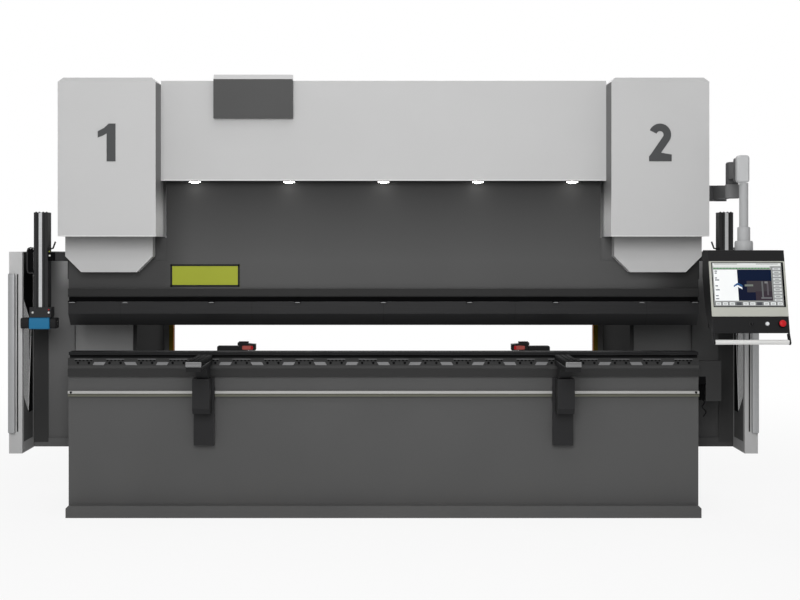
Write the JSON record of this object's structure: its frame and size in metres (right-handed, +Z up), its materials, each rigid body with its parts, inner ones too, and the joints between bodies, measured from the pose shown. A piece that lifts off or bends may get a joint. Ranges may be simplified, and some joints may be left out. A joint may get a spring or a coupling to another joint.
{
  "type": "press brake",
  "caption": "Hydraulic press brake that bends sheet metal between a long punch and die, with side guards, sheet supports, back gauge and a swinging control pendant.",
  "frame": {"origin": "on the floor, in the middle of the bed's length, under the bending line", "axes": "+X along the bed to the operator's right, +Y towards the back of the machine, +Z up"},
  "size_m": [4.81, 2.6566, 2.787],
  "materials": {
    "dark_paint": "semi-matt dark grey paint",
    "cover_paint": "fine-texture light grey powder coat",
    "black_paint": "satin black paint",
    "tool_steel": "burnished hardened tool steel",
    "bright_steel": "ground bright steel",
    "yellow_paint": "yellow paint",
    "aluminium": "satin anodised",
    "tinted_pane": "tinted clear polycarbonate",
    "screen_glass": "lit touch screen",
    "laser_case": "blue and black housing",
    "lamp": "LED diffuser",
    "stop_red": "red mushroom button",
    "finger_black": "black, red stop face"
  },
  "bodies": {
    "machine": {"arm_bracket": "cover_paint", "bed": "dark_paint", "cylinder_left": "dark_paint", "cylinder_right": "dark_paint", "die": "tool_steel", "die_rail": "dark_paint", "end_bracket": "dark_paint", "frame_left": "dark_paint", "frame_right": "dark_paint", "gauge_rail_left": "bright_steel", "gauge_rail_right": "bright_steel", "guard_back_left": "cover_paint", "guard_back_right": "cover_paint", "header_cover": "cover_paint", "housing_left": "cover_paint", "housing_right": "cover_paint", "lamp_bar": "lamp", "light_curtain_left": "yellow_paint", "light_curtain_right": "yellow_paint", "name_panel": "black_paint", "oil_tank": "dark_paint", "side_cabinet_left": "cover_paint", "side_cabinet_right": "cover_paint", "support_rail": "bright_steel", "table": "dark_paint"},
    "ram_unit": {"ram": "dark_paint", "clamp_bar": "dark_paint", "punch_clamps": "tool_steel", "punch": "tool_steel", "yellow_plate": "yellow_paint", "apron_left": "cover_paint", "apron_right": "cover_paint", "piston_rod_left": "bright_steel", "piston_rod_right": "bright_steel", "laser_column_left": "black_paint", "laser_column_right": "black_paint", "laser_head_left": "laser_case", "laser_head_right": "laser_case"},
    "door_left": {"guard_door_left": "cover_paint", "guard_window_left": "tinted_pane", "guard_handle_left": "aluminium"},
    "door_right": {"guard_door_right": "cover_paint", "guard_window_right": "tinted_pane", "guard_handle_right": "aluminium"},
    "arm_lower": {"arm_link_lower": "cover_paint"},
    "arm_upper": {"arm_link_upper": "cover_paint"},
    "pendant": {"pendant_mast": "cover_paint", "pendant_case": "cover_paint", "pendant_screen": "screen_glass", "pendant_switches": "black_paint", "stop_button": "stop_red", "pendant_handle": "black_paint"},
    "support_left": {"support_carriage_left": "dark_paint", "support_arm_left": "aluminium"},
    "support_right": {"support_carriage_right": "dark_paint", "support_arm_right": "aluminium"},
    "back_gauge": {"gauge_beam": "dark_paint"},
    "finger_left": {"gauge_finger_left": "finger_black"},
    "finger_right": {"gauge_finger_right": "finger_black"}
  },
  "joints": [
    {"name": "ram_stroke", "type": "slide", "parent": "machine", "child": "ram_unit", "axis": [0, 0, 1], "range_m": [-0.15, 0]},
    {"name": "door_left_hinge", "type": "hinge", "parent": "machine", "child": "door_left", "pos_m": [-2.345, 0.37, 1], "axis": [0, 0, 1], "range_deg": [-90, 0]},
    {"name": "door_right_hinge", "type": "hinge", "parent": "machine", "child": "door_right", "pos_m": [2.345, 0.37, 1], "axis": [0, 0, 1], "range_deg": [0, 90]},
    {"name": "arm_pivot", "type": "hinge", "parent": "machine", "child": "arm_lower", "pos_m": [2.15, 0, 2], "axis": [0, 0, 1], "range_deg": [0, 50]},
    {"name": "arm_elbow", "type": "hinge", "parent": "arm_lower", "child": "arm_upper", "pos_m": [2.14, -0.36, 2.1], "axis": [0, 0, 1], "range_deg": [-45, 45]},
    {"name": "pendant_swivel", "type": "hinge", "parent": "arm_upper", "child": "pendant", "pos_m": [2.105, -0.78, 2.05], "axis": [0, 0, 1], "range_deg": [-30, 30]},
    {"name": "support_left_slide", "type": "slide", "parent": "machine", "child": "support_left", "axis": [1, 0, 0], "range_m": [-0.6, 0.9]},
    {"name": "support_right_slide", "type": "slide", "parent": "machine", "child": "support_right", "axis": [1, 0, 0], "range_m": [-0.9, 0.6]},
    {"name": "gauge_depth", "type": "slide", "parent": "machine", "child": "back_gauge", "axis": [0, 1, 0], "range_m": [-0.1, 0.5]},
    {"name": "finger_left_slide", "type": "slide", "parent": "back_gauge", "child": "finger_left", "axis": [1, 0, 0], "range_m": [-0.4, 0.6]},
    {"name": "finger_right_slide", "type": "slide", "parent": "back_gauge", "child": "finger_right", "axis": [1, 0, 0], "range_m": [-0.6, 0.4]}
  ]
}
